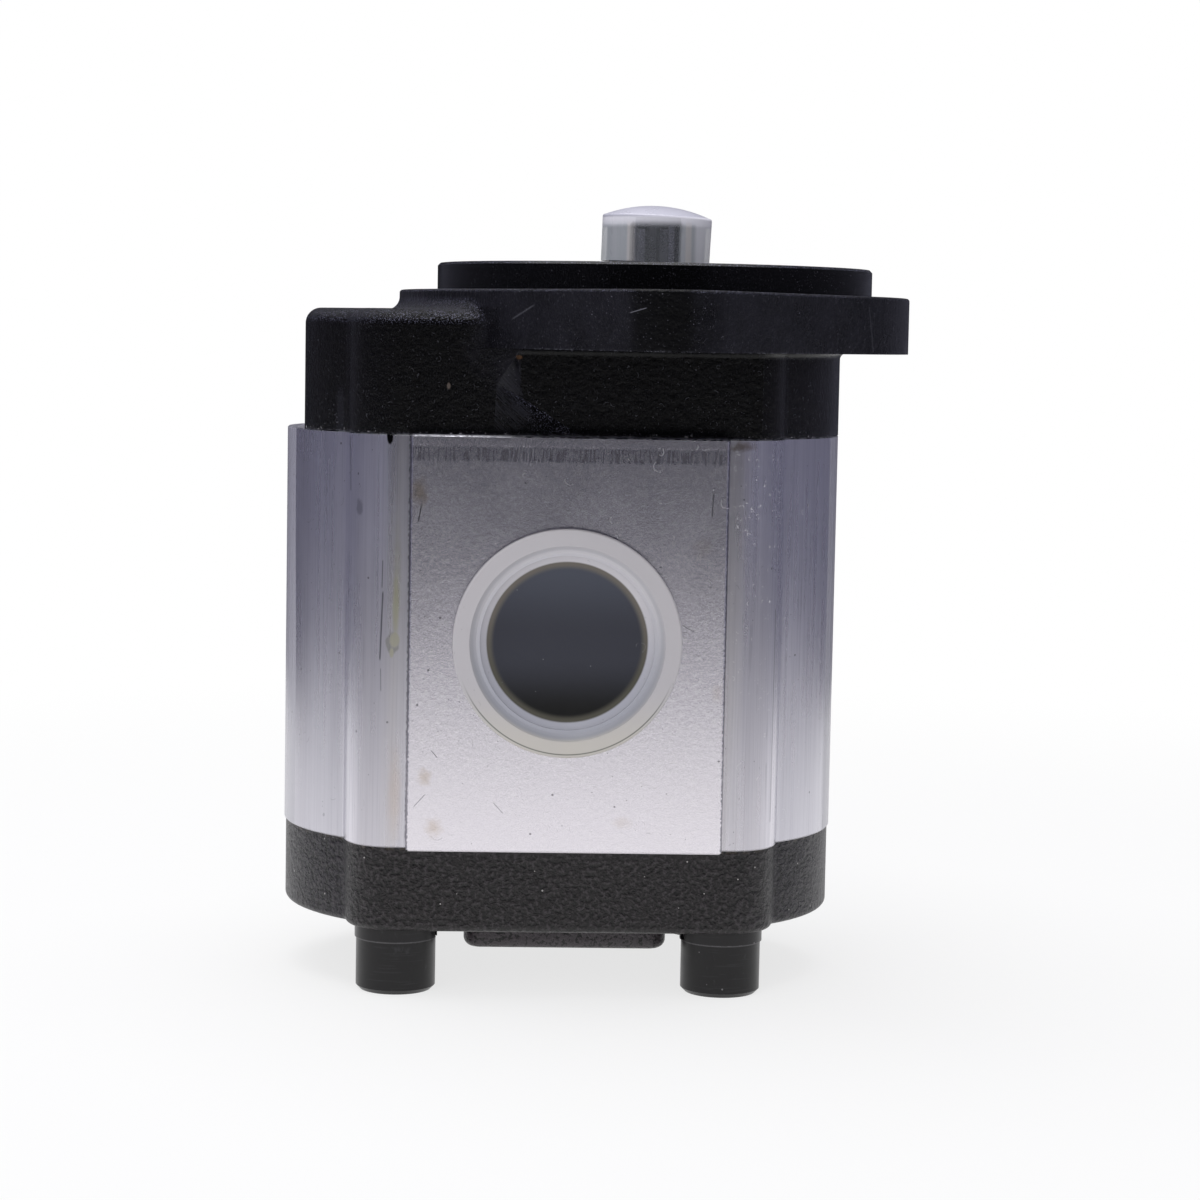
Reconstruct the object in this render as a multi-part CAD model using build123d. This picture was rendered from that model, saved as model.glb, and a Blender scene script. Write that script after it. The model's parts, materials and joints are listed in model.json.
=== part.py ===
from build123d import *
import math
import os

# External gear pump with a two-bolt mounting flange and a splined drive shaft.
# Millimetres. +Z points out along the drive shaft, and -Y towards the inlet port.
# The origin is on the drive shaft's axis, in the plane of the mounting face.

# Gears
centre_distance = 41.5
tooth_count = 12
pressure_angle = 25.0
flank_relief = 0.12
root_clearance = 0.9
running_gap = 0.1

# Shafts
journal_radius = 13.0
journal_length = 25.0
journal_gap = 0.03
seal_land_radius = 12.5
shaft_end_height = 16.1
shaft_end_chamfer = 1.2
spline_teeth = 13
spline_pitch_radius = 10.32
spline_tip_radius = 10.9
spline_root_radius = 9.3
spline_pressure_angle = 30.0
spline_length = 16.0
spline_relief = 0.05
journal_chamfer = 0.8
centre_hole_radius = 2.5
centre_hole_depth = 7.0

# Bearing blocks and bushes
block_height = 26.0
block_side_gap = 0.05
bush_wall = 1.75
bush_inset = 0.4
press_gap = 0.02
relief_pocket_width = 7.0
relief_pocket_length = 3.5
relief_pocket_offset = 5.2
relief_pocket_depth = 1.5

# Casing outline, shared by the covers and the body
body_wall = 19.5
screw_x = 36.9
screw_y = 34.0
corner_radius = 12.0
crease_radius = 3.0
rear_cover_inset = 0.4
edge_break = 0.3

# Casing stack, from the mounting face down
pilot_radius = 50.8
pilot_height = 6.4
pilot_chamfer = 0.6
flange_thickness = 12.9
front_cover_height = 32.0
body_height = 92.0
rear_cover_height = 19.0

# Mounting flange
flange_radius = 59.6
ear_reach = 73.0
ear_radius = 14.3
ear_hole_radius = 7.15
flange_edge_radius = 0.7
underside_fillet = 1.5

# Front cover's shoulder over the driven gear, and the spanner relief under each ear
shoulder_drop = 4.6
shoulder_round = 3.5
shoulder_fillet = 3.0
shoulder_end = 80.2
relief_half_width = 32.3
relief_depth = 1.6
ground_knee = (-36.7, -20.8)
ground_foot_x = -37.2
ground_bend = (-30.7, -23.9)
ground_end_x = -18.0

# Port pads and ports
pad_half_width = 35.05
pad_rise = 4.0
pad_corner = 0.8
port_shift = 0.45
port_drop = 45.3
inlet_radius = 19.6
inlet_depth = 20.0
inlet_passage_radius = 14.0
outlet_radius = 15.65
outlet_depth = 19.0
outlet_passage_radius = 10.0
port_mouth_chamfer = 2.4

# Rear cover
rear_bottom_round = 1.5
rear_boss_width = 46.2
rear_boss_length = 64.0
rear_boss_shift = 1.5
rear_boss_height = 6.4
rear_boss_corner = 4.0
rear_boss_round = 2.2
rear_boss_root = 2.5

# Screws, lock washers and dowels
screw_radius = 6.0
screw_length = 130.0
screw_hole_gap = 0.5
thread_gap = 0.05
thread_chamfer = 1.0
tapping_allowance = 3.0
head_radius = 9.0
head_height = 12.0
head_chamfer = 1.0
socket_across_flats = 10.0
socket_depth = 6.0
washer_radius = 9.35
washer_thickness = 3.0
washer_bore_gap = 0.15
washer_slit = 1.6
washer_slit_lean = 35.0
washer_slit_turn = -14.0
dowel_radius = 4.0
dowel_length = 16.0
dowel_y = 38.5
dowel_gap = 0.02
dowel_chamfer = 0.6
dowel_end_gap = 0.5

# Seals
body_seal_inset = 2.4
body_seal_width = 2.6
body_seal_depth = 2.0
pressure_seal_inset = 3.0
pressure_seal_width = 2.4
pressure_seal_depth = 2.4
pressure_seal_mouth = 58.0
backup_depth = 0.9
seal_groove_gap = 0.1
seal_bore_radius = 21.0
seal_bore_depth = 20.0
shaft_hole_radius = 14.0
lip_seal_height = 7.0
lip_seal_wall = 1.6
lip_gap = 0.06
lip_seal_spacing = 0.6
ring_thickness = 1.75
ring_groove_depth = 1.3
ring_band = 2.6
ring_opening = 24.0
ring_lug_radius = 2.6
ring_lug_turn = 5.0
ring_lug_hole_radius = 1.1

# Shipping caps
cap_wall = 1.2
cap_gap = 0.6
cap_flare = 0.1
cap_top_thickness = 1.5
cap_dome = 2.4
cap_floor_gap = 0.9
cap_end_gap = 0.6
cap_round = 0.6
cap_lean = 2.0
plug_flange_overhang = 5.65
plug_flange_thickness = 1.8
plug_seat_gap = 0.2
plug_gap = 0.3
plug_lip_width = 3.7
plug_lip_step = 0.4
plug_web_inset = 1.9
plug_web_drop = 4.1
plug_web_thickness = 1.2
plug_skirt_length = 14.0
plug_skirt_wall = 1.6
plug_rim_round = 0.5

# Places worked out from the sizes above
driven_x = -centre_distance
centre_x = driven_x / 2
pitch_radius = centre_distance / 2
module = centre_distance / tooth_count
gear_tip_radius = pitch_radius + module
gear_root_radius = centre_distance - gear_tip_radius - root_clearance
chamber_radius = gear_tip_radius + running_gap
lobe_radius = chamber_radius + body_wall
block_face = screw_y + corner_radius
pad_reach = block_face + pad_rise
body_top = -front_cover_height
body_bottom = body_top - body_height
rear_bottom = body_bottom - rear_cover_height
gear_top = body_top - block_height - 2 * running_gap
gear_width = body_height - 2 * block_height - 4 * running_gap
gear_bottom = gear_top - gear_width
port_x = centre_x + port_shift
port_z = body_top - port_drop
bush_outer_radius = journal_radius + journal_gap + bush_wall
seal_floor = -seal_bore_depth
ring_bottom = seal_floor + 2 * lip_seal_height + lip_seal_spacing
shaft_seat_height = shaft_end_height - spline_length
chamber_waist = math.sqrt(chamber_radius**2 - pitch_radius**2)
screw_tip = rear_bottom - washer_thickness + screw_length
screws = [(centre_x + sx * screw_x, sy * screw_y) for sx in (-1, 1) for sy in (-1, 1)]


def polar(radius, degrees):
    """A point at that radius and angle in the XY plane."""
    angle = math.radians(degrees)
    return (radius * math.cos(angle), radius * math.sin(angle))


def cylinder(radius, low, high, x=0.0, y=0.0):
    """An upright cylinder between two heights."""
    return Pos(x, y, (low + high) / 2) * Cylinder(radius, high - low)


def slab(sketch, low, high):
    """A sketch in the XY plane, extruded between two heights."""
    return Pos(0, 0, low) * extrude(sketch, high - low)


def turned(points):
    """A solid turned about Z from an outline of (radius, height) points."""
    return revolve(Plane.XZ * make_face(Polyline(*points, close=True)), Axis.Z)


def toothed_outline(teeth, pitch, pressure, tip, root, relief):
    """An involute profile with round roots. One tooth points along +X."""
    base = pitch * math.cos(math.radians(pressure))
    start = max(base, root)

    def half_angle(radius):
        """Half the tooth's angle at a radius, in degrees."""
        spread = math.acos(min(1.0, base / radius))
        involute = math.tan(spread) - spread
        at_pitch = math.tan(math.radians(pressure)) - math.radians(pressure)
        return 90.0 / teeth + math.degrees(at_pitch - involute - relief / pitch)

    flank_radii = [start + (tip - start) * step / 4 for step in range(5)]
    edges = []
    for tooth in range(teeth):
        middle = tooth * 360.0 / teeth
        gap_middle = middle + 180.0 / teeth
        next_middle = middle + 360.0 / teeth
        rising = [polar(r, middle - half_angle(r)) for r in flank_radii]
        falling = [polar(r, middle + half_angle(r)) for r in reversed(flank_radii)]
        next_foot = polar(start, next_middle - half_angle(start))
        edges.append(Spline(*rising))
        edges.append(ThreePointArc(rising[-1], polar(tip, middle), falling[0]))
        edges.append(Spline(*falling))
        edges.append(ThreePointArc(falling[-1], polar(root, gap_middle), next_foot))
    return make_face(edges)


def gear_outline():
    """The pump gear's profile."""
    return toothed_outline(
        tooth_count, pitch_radius, pressure_angle, gear_tip_radius, gear_root_radius, flank_relief
    )


def casing_outline(inset=0.0):
    """Two lobes round the gear axes, a block round the screws, and a fillet in each crease."""
    lobe = lobe_radius - inset
    corner = corner_radius - inset
    block = RectangleRounded(2 * (screw_x + corner), 2 * (screw_y + corner), corner)
    shape = Circle(lobe) + Pos(driven_x, 0) * Circle(lobe) + Pos(centre_x, 0) * block
    for side, axis_x in ((1, 0.0), (-1, driven_x)):
        for end in (1, -1):
            shape = fill_crease(shape, side, end, axis_x, lobe, corner)
    return shape


def fill_crease(shape, side, end, axis_x, lobe, corner):
    """Rounds the inside corner between a lobe and the block with an arc that touches both."""
    screw = (centre_x + side * screw_x, end * screw_y)
    across = Vector(screw[0] - axis_x, screw[1])
    to_lobe = lobe + crease_radius
    to_screw = corner + crease_radius
    along = (to_lobe**2 - to_screw**2 + across.length**2) / (2 * across.length)
    off = math.sqrt(to_lobe**2 - along**2)
    unit = across.normalized()
    outward = Vector(unit.Y, -unit.X) * (side * end)
    middle = Vector(axis_x, 0) + unit * along + outward * off
    foot = Vector(screw[0], screw[1])
    if abs(middle.Y) < screw_y:
        wall_x = centre_x + side * (screw_x + corner)
        reach = wall_x + side * crease_radius - axis_x
        middle = Vector(wall_x + side * crease_radius, end * math.sqrt(to_lobe**2 - reach**2))
        foot = Vector(wall_x, middle.Y)
    web = make_face(Polyline((axis_x, 0), (foot.X, foot.Y), (middle.X, middle.Y), close=True))
    return shape + web - Pos(middle.X, middle.Y) * Circle(crease_radius)


def chamber_outline(radius):
    """The figure of eight that the gears and bearing blocks run in."""
    return Circle(radius) + Pos(driven_x, 0) * Circle(radius)


def flange_outline():
    """A disc with two ears, joined by straight tangents."""
    tilt = math.degrees(math.asin((flange_radius - ear_radius) / ear_reach))
    shape = Circle(flange_radius)
    for end in (1, -1):
        shape += Pos(0, end * ear_reach) * Circle(ear_radius)
    near = [polar(flange_radius, tilt), polar(ear_radius, tilt)]
    corners = [
        near[0],
        (near[1][0], near[1][1] + ear_reach),
        (-near[1][0], near[1][1] + ear_reach),
        (-near[0][0], near[0][1]),
    ]
    corners += [(-x, -y) for x, y in corners]
    return shape + make_face(Polyline(*corners, close=True))


def edges_at(solid, height, tolerance=0.01):
    """The edges that lie flat at a height."""
    low, high = height - tolerance, height + tolerance
    return solid.edges().filter_by(lambda e: low < e.bounding_box().min.Z and e.bounding_box().max.Z < high)


def relief_box(left, right):
    """The space cut for a spanner under the ear on the inlet side, between two places in X."""
    depth = 2 * corner_radius
    height = front_cover_height - flange_thickness
    middle_y = relief_depth - block_face - depth / 2
    return Pos((left + right) / 2, middle_y, body_top + height / 2) * Box(right - left, depth, height)


def side_view(y, points):
    """A flat outline of (X, Z) points, upright at that Y."""
    return Plane(origin=(0, y, 0), x_dir=(1, 0, 0), z_dir=(0, -1, 0)) * Polygon(*points, align=None)


def ground_relief():
    """The space ground away where the relief ends: a slope that grows towards the joint with the body."""
    top = -flange_thickness - underside_fillet
    face_outline = [
        (-relief_half_width, top),
        ground_knee,
        (ground_foot_x, body_top),
        (ground_end_x + relief_depth, body_top),
        (ground_end_x + relief_depth, top),
    ]
    floor_outline = [
        (-relief_half_width, top),
        ground_bend,
        (ground_end_x, body_top),
        (ground_end_x + relief_depth, body_top),
        (ground_end_x + relief_depth, top),
    ]
    face = side_view(-block_face, face_outline)
    floor = side_view(relief_depth - block_face, floor_outline)
    return loft([face, floor], ruled=True)


def on_both_ends(solid):
    """The solid and its mirror image at the other ear."""
    return [solid, mirror(solid, about=Plane.XZ)]


def neck_outline():
    """The casing's outline, cut off flat at the shoulder's end."""
    clip = Pos(2 * lobe_radius - shoulder_end, 0) * Rectangle(4 * lobe_radius, 4 * lobe_radius)
    return casing_outline() & clip


def cover_casting():
    """Neck, shoulder, flange and pilot, with the fillets of the casting and the ground reliefs."""
    outline = neck_outline()
    over_driven = Pos(-shoulder_end - relief_half_width, 0) * Rectangle(2 * shoulder_end, 4 * lobe_radius)
    shoulder = slab(outline & over_driven, body_top, -shoulder_drop)
    rim = edges_at(shoulder, -shoulder_drop).filter_by(lambda e: (e @ 0.5).X < -relief_half_width - 1)
    shoulder = fillet(rim, shoulder_round)
    straight_relief = relief_box(-relief_half_width, lobe_radius)
    block = slab(outline, body_top, -flange_thickness) + shoulder - on_both_ends(straight_relief)
    flange = slab(flange_outline(), -flange_thickness, 0)
    flange = fillet(edges_at(flange, 0), flange_edge_radius)
    casting = block + flange
    foot = edges_at(casting, -shoulder_drop).filter_by(lambda e: (e @ 0.5).length < flange_radius + 1)
    casting = fillet(foot, shoulder_fillet)
    inside_flange = offset(flange_outline(), -1.0).face()

    def under_flange(edge):
        middle = edge @ 0.5
        beside_relief = middle.X > -relief_half_width - edge_break
        return beside_relief and inside_flange.is_inside(Vector(middle.X, middle.Y, 0))

    casting = fillet(edges_at(casting, -flange_thickness).filter_by(under_flange), underside_fillet)
    low_outline = [
        (ground_foot_x, body_top),
        (ground_end_x + relief_depth, body_top),
        (ground_end_x + relief_depth, -flange_thickness - underside_fillet),
        (ground_foot_x, -flange_thickness - underside_fillet),
    ]
    filling = extrude(side_view(-block_face, low_outline), -relief_depth)
    return casting + on_both_ends(filling) - on_both_ends(ground_relief())


def front_cover():
    """The casting with its pilot, seal bore, ear holes, dowel holes and tapped screw holes."""
    pilot = chamfer(edges_at(cylinder(pilot_radius, 0, pilot_height), pilot_height), pilot_chamfer)
    solid = cover_casting() + pilot
    bores = [cylinder(shaft_hole_radius, body_top, seal_floor)]
    bores.append(cylinder(seal_bore_radius, seal_floor, pilot_height))
    groove_top = ring_bottom + ring_thickness + seal_groove_gap
    bores.append(cylinder(seal_bore_radius + ring_groove_depth, ring_bottom, groove_top))
    bores += [cylinder(ear_hole_radius, -flange_thickness, 0, 0, end * ear_reach) for end in (-1, 1)]
    thread_end = screw_tip + tapping_allowance
    bores += [cylinder(screw_radius + thread_gap, body_top, thread_end, x, y) for x, y in screws]
    return solid - bores - dowel_holes(body_top)


def dowel_holes(joint):
    """The dowels' holes, half in each of the two castings that meet at a height."""
    reach = dowel_length / 2 + dowel_end_gap
    return [
        cylinder(dowel_radius + dowel_gap, joint - reach, joint + reach, centre_x, end * dowel_y)
        for end in (-1, 1)
    ]


def dowel_pins():
    """Two dowels at each joint of the casing."""
    pins = []
    for joint in (body_top, body_bottom):
        for end in (-1, 1):
            pin = Cylinder(dowel_radius, dowel_length)
            pin = chamfer(pin.edges().filter_by(GeomType.CIRCLE), dowel_chamfer)
            pins.append(Pos(centre_x, end * dowel_y, joint) * pin)
    return Compound(pins)


def body_seal_ring(gap):
    """The ring round the chamber in the body's end face, from the groove's size less a gap."""
    inner = chamber_radius + body_seal_inset + gap
    outer = chamber_radius + body_seal_inset + body_seal_width - gap
    ring = SlotCenterToCenter(centre_distance, 2 * outer) - SlotCenterToCenter(centre_distance, 2 * inner)
    return Pos(centre_x, 0) * ring


def front_body_seal():
    """The seal ring in the body's front face."""
    return slab(body_seal_ring(seal_groove_gap), body_top - body_seal_depth, body_top)


def rear_body_seal():
    """The seal ring in the body's rear face."""
    return slab(body_seal_ring(seal_groove_gap), body_bottom, body_bottom + body_seal_depth)


def along_y(side, radius, start, end):
    """A cylinder along the port's axis, from one distance off the middle plane to another."""
    tool = Rot(-90 * side, 0, 0) * cylinder(radius, start, end)
    return Pos(port_x, 0, port_z) * tool


def port(side, radius, depth, passage_radius):
    """A threaded port's bore with its mouth chamfer, and the passage into the gear chamber."""
    floor = pad_reach - depth
    bore = along_y(side, radius, floor, pad_reach)
    mouth = Rot(-90 * side, 0, 0) * turned([
        (0, pad_reach - port_mouth_chamfer),
        (radius, pad_reach - port_mouth_chamfer),
        (radius + port_mouth_chamfer, pad_reach),
        (0, pad_reach),
    ])
    passage = along_y(side, passage_radius, chamber_waist / 2, floor)
    return [bore, Pos(port_x, 0, port_z) * mouth, passage]


def pump_body():
    """The extruded body: two lobes and two port pads, with the chamber, ports and screw holes."""
    pads = Pos(port_x, 0) * RectangleRounded(2 * pad_half_width, 2 * pad_reach, pad_corner)
    solid = slab(casing_outline() + pads, body_bottom, body_top)
    solid = chamfer(edges_at(solid, body_top) + edges_at(solid, body_bottom), edge_break)
    solid -= slab(chamber_outline(chamber_radius), body_bottom, body_top)
    solid -= port(-1, inlet_radius, inlet_depth, inlet_passage_radius)
    solid -= port(1, outlet_radius, outlet_depth, outlet_passage_radius)
    solid -= [cylinder(screw_radius + screw_hole_gap, body_bottom, body_top, x, y) for x, y in screws]
    solid -= slab(body_seal_ring(0), body_top - body_seal_depth, body_top)
    solid -= slab(body_seal_ring(0), body_bottom, body_bottom + body_seal_depth)
    return solid - dowel_holes(body_top) - dowel_holes(body_bottom)


def rear_cover():
    """The cast rear cover, rounded underneath, with a boss that grows out of it in a fillet."""
    plate = slab(casing_outline(rear_cover_inset), rear_bottom, body_bottom)
    plate = fillet(edges_at(plate, rear_bottom), rear_bottom_round)
    boss_outline = RectangleRounded(rear_boss_width, rear_boss_length, rear_boss_corner)
    boss_bottom = rear_bottom - rear_boss_height
    boss = slab(Pos(centre_x + rear_boss_shift, 0) * boss_outline, boss_bottom, rear_bottom)
    boss = fillet(edges_at(boss, boss_bottom), rear_boss_round)
    solid = plate + boss

    def round_the_boss(edge):
        across = abs((edge @ 0.5).X - centre_x - rear_boss_shift)
        along = abs((edge @ 0.5).Y)
        return across < rear_boss_width / 2 + edge_break and along < rear_boss_length / 2 + edge_break

    solid = fillet(edges_at(solid, rear_bottom).filter_by(round_the_boss), rear_boss_root)
    solid -= [cylinder(screw_radius + screw_hole_gap, rear_bottom, body_bottom, x, y) for x, y in screws]
    return solid - dowel_holes(body_bottom)


def cover_screws():
    """Four socket head screws, put in from the rear."""
    head_top = rear_bottom - washer_thickness
    head_bottom = head_top - head_height
    parts = []
    for x, y in screws:
        head = cylinder(head_radius, head_bottom, head_top)
        head = chamfer(edges_at(head, head_bottom), head_chamfer)
        shank = cylinder(screw_radius, head_top, screw_tip)
        shank = chamfer(edges_at(shank, screw_tip), thread_chamfer)
        hexagon = RegularPolygon(socket_across_flats / 2, 6, major_radius=False)
        socket = slab(hexagon, head_bottom, head_bottom + socket_depth)
        parts.append(Pos(x, y) * (head + shank - socket))
    return Compound(parts)


def lock_washers():
    """Four split lock washers, each with its leaning slit turned towards the inlet side."""
    low = rear_bottom - washer_thickness
    parts = []
    for x, y in screws:
        ring = cylinder(washer_radius, low, rear_bottom)
        ring -= cylinder(screw_radius + washer_bore_gap, low, rear_bottom)
        slit = Pos(washer_radius, 0) * Box(2 * washer_radius, washer_slit, 3 * washer_thickness)
        slit = Pos(0, 0, (low + rear_bottom) / 2) * Rot(washer_slit_lean, 0, 0) * slit
        turn = washer_slit_turn if x < centre_x else 180 - washer_slit_turn
        parts.append(Pos(x, y) * Rot(0, 0, turn) * (ring - slit))
    return Compound(parts)


def pressure_outline(gap):
    """The three-shaped seal's outline: an arc round each gear, open towards the inlet."""
    middle = chamber_radius - pressure_seal_inset
    half_width = pressure_seal_width / 2 - gap
    mouth = make_face(Polyline(
        (0, 0),
        polar(chamber_radius * 2, -90 - pressure_seal_mouth),
        (0, -chamber_radius * 4),
        polar(chamber_radius * 2, -90 + pressure_seal_mouth),
        close=True,
    ))
    arc = Circle(middle + half_width) - Circle(middle - half_width) - mouth
    return arc + Pos(driven_x, 0) * arc


def pressure_band(low, high, gap):
    """The three-shaped outline between two depths under the front block's back."""
    back = body_top - running_gap
    return slab(pressure_outline(gap), back - high, back - low)


def front_pressure_seal():
    """The soft seal at the bottom of the front block's groove."""
    return pressure_band(backup_depth, pressure_seal_depth, seal_groove_gap)


def front_backup_ring():
    """The stiff strip over the front block's seal."""
    return pressure_band(0, backup_depth, seal_groove_gap)


def relief_pockets(face):
    """The pockets in the block's gear face that vent the oil trapped between meshing teeth."""
    pocket = RectangleRounded(relief_pocket_width, relief_pocket_length, relief_pocket_length / 2.1)
    return [
        slab(Pos(centre_x, end * relief_pocket_offset) * pocket, face, face + relief_pocket_depth)
        for end in (-1, 1)
    ]


def front_bearing_block():
    """The floating block that carries both front journals and seals the gears' sides."""
    face = gear_top + running_gap
    block = slab(chamber_outline(chamber_radius - block_side_gap), face, face + block_height)
    for axis_x in (0.0, driven_x):
        block -= cylinder(bush_outer_radius + press_gap, face, face + block_height, axis_x)
    return block - relief_pockets(face) - pressure_band(0, pressure_seal_depth, 0)


def front_bush(axis_x):
    """A lined bush, set a little below both faces of the front block."""
    low = gear_top + running_gap + bush_inset
    high = body_top - running_gap - bush_inset
    bush = cylinder(bush_outer_radius, low, high, axis_x)
    return bush - cylinder(journal_radius + journal_gap, low, high, axis_x)


def at_rear(solid):
    """The same piece at the gears' other side."""
    return mirror(solid, about=Plane.XY.offset((gear_top + gear_bottom) / 2))


def journal(low, high):
    """A bearing journal, chamfered at both ends."""
    return chamfer(cylinder(journal_radius, low, high).edges().filter_by(GeomType.CIRCLE), journal_chamfer)


def gear_with_journals():
    """A pump gear in one piece with its two journals."""
    gear = slab(gear_outline(), gear_bottom, gear_top)
    front = journal(gear_top, gear_top + journal_length)
    rear = journal(gear_bottom - journal_length, gear_bottom)
    return gear + front + rear


def drive_gear_shaft():
    """The drive gear, its journals, the seal land and the splined end."""
    land = cylinder(seal_land_radius, gear_top + journal_length - journal_chamfer, shaft_seat_height)
    land = chamfer(edges_at(land, shaft_seat_height), journal_chamfer)
    outline = toothed_outline(
        spline_teeth, spline_pitch_radius, spline_pressure_angle, spline_tip_radius, spline_root_radius,
        spline_relief,
    )
    spline = slab(outline, shaft_seat_height, shaft_end_height)
    end_cone_height = shaft_end_height + spline_tip_radius - shaft_end_chamfer
    spline &= turned([
        (0, shaft_seat_height),
        (spline_tip_radius * 1.5, shaft_seat_height),
        (spline_tip_radius * 1.5, end_cone_height - spline_tip_radius * 1.5),
        (spline_tip_radius - shaft_end_chamfer, shaft_end_height),
        (0, shaft_end_height),
    ])
    centre_hole = turned([
        (0, shaft_end_height - centre_hole_depth),
        (centre_hole_radius / 2, shaft_end_height - centre_hole_depth + centre_hole_radius / 2),
        (centre_hole_radius / 2, shaft_end_height - centre_hole_radius),
        (centre_hole_radius * 1.5, shaft_end_height),
        (0, shaft_end_height),
    ])
    return gear_with_journals() + land + spline - centre_hole


def driven_gear_shaft():
    """The driven gear, turned half a tooth so that it meshes with the drive gear."""
    return Pos(driven_x, 0) * Rot(0, 0, 180 / tooth_count) * gear_with_journals()


def lip_seal(low):
    """A shaft seal with a stiff outer ring and a lip that leans in to the shaft."""
    high = low + lip_seal_height
    outer = seal_bore_radius - press_gap
    lip = seal_land_radius + lip_gap
    wall = lip_seal_wall
    return turned([
        (outer, low),
        (outer, high),
        (outer - wall, high),
        (outer - wall, low + wall),
        (lip + 2 * wall, low + wall),
        (lip + wall, high - wall),
        (lip, high - wall),
        (lip, high - 2 * wall),
        (lip + wall, low),
    ])


def retaining_ring():
    """The circlip over the shaft seals, open between its two lugs."""
    outer = seal_bore_radius + ring_groove_depth - seal_groove_gap
    half = ring_opening / 2
    opening = make_face(Polyline((0, 0), polar(2 * outer, -half), polar(2 * outer, half), close=True))
    lug_reach = seal_bore_radius - ring_lug_radius - seal_groove_gap
    ring = Circle(outer) - Circle(outer - ring_band) - opening
    lugs = [Pos(*polar(lug_reach, side * (half + ring_lug_turn))) for side in (-1, 1)]
    for lug in lugs:
        ring += lug * Circle(ring_lug_radius)
    for lug in lugs:
        ring -= lug * Circle(ring_lug_hole_radius)
    return slab(ring, ring_bottom, ring_bottom + ring_thickness)


def shaft_cap():
    """The shipping cap: a loose flared cup over the splined end, domed, and leaning a little."""
    inner = spline_tip_radius + cap_gap
    foot = pilot_height + cap_floor_gap
    ceiling = shaft_end_height + cap_end_gap
    rim = ceiling + cap_top_thickness
    outer = inner + cap_wall
    edge = outer + cap_flare
    rim_start = (edge, rim - cap_round)
    dome_start = (edge - cap_round, rim)
    dome_top = (0, rim + cap_dome)
    dome_radius = (dome_start[0] ** 2 + cap_dome**2) / (2 * cap_dome)
    outline = [
        Line((outer, foot), rim_start),
        RadiusArc(rim_start, dome_start, -cap_round),
        RadiusArc(dome_start, dome_top, -dome_radius),
        Polyline(dome_top, (0, ceiling), (inner, ceiling), (inner, foot), (outer, foot)),
    ]
    cap = revolve(Plane.XZ * make_face(outline), Axis.Z)
    return Pos(0, 0, foot) * Rot(0, cap_lean, 0) * Pos(0, 0, -foot) * cap


def port_plug(side, port_radius):
    """A shipping plug: a flange with a raised rim, a funnel down to a thin web, and a skirt."""
    front = plug_seat_gap + plug_flange_thickness
    flange = port_radius + plug_flange_overhang
    lip = flange - plug_lip_width
    web_radius = port_radius - plug_web_inset
    web_top = front - plug_web_drop
    skirt = port_radius - plug_gap
    plug = turned([
        (0, web_top),
        (web_radius, web_top),
        (lip, front - plug_lip_step),
        (lip, front),
        (flange, front),
        (flange, plug_seat_gap),
        (skirt, plug_seat_gap),
        (skirt, -plug_skirt_length),
        (skirt - plug_skirt_wall, -plug_skirt_length),
        (skirt - plug_skirt_wall, web_top - plug_web_thickness),
        (0, web_top - plug_web_thickness),
    ])
    plug = fillet(edges_at(plug, front).sort_by(SortBy.RADIUS)[-1], plug_rim_round)
    return Pos(port_x, side * pad_reach, port_z) * Rot(-90 * side, 0, 0) * plug


def all_nodes():
    """Each node's name with its solids."""
    return {
        "front_cover": front_cover(),
        "pump_body": pump_body(),
        "rear_cover": rear_cover(),
        "cover_screws": cover_screws(),
        "lock_washers": lock_washers(),
        "dowel_pins": dowel_pins(),
        "drive_gear_shaft": drive_gear_shaft(),
        "driven_gear_shaft": driven_gear_shaft(),
        "front_bearing_block": front_bearing_block(),
        "rear_bearing_block": at_rear(front_bearing_block()),
        "front_drive_bush": front_bush(0.0),
        "front_driven_bush": front_bush(driven_x),
        "rear_drive_bush": at_rear(front_bush(0.0)),
        "rear_driven_bush": at_rear(front_bush(driven_x)),
        "front_body_seal": front_body_seal(),
        "rear_body_seal": rear_body_seal(),
        "front_pressure_seal": front_pressure_seal(),
        "rear_pressure_seal": at_rear(front_pressure_seal()),
        "front_backup_ring": front_backup_ring(),
        "rear_backup_ring": at_rear(front_backup_ring()),
        "inner_shaft_seal": lip_seal(seal_floor),
        "outer_shaft_seal": lip_seal(seal_floor + lip_seal_height + lip_seal_spacing),
        "retaining_ring": retaining_ring(),
        "shaft_cap": shaft_cap(),
        "inlet_plug": port_plug(-1, inlet_radius),
        "outlet_plug": port_plug(1, outlet_radius),
    }


def main():
    """Writes one file for each node."""
    os.makedirs("parts", exist_ok=True)
    for name, solids in all_nodes().items():
        export_step(solids, f"parts/{name}.step")


if __name__ == "__main__":
    main()
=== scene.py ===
import json
import math

import bpy
from mathutils import Matrix, Vector


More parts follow.
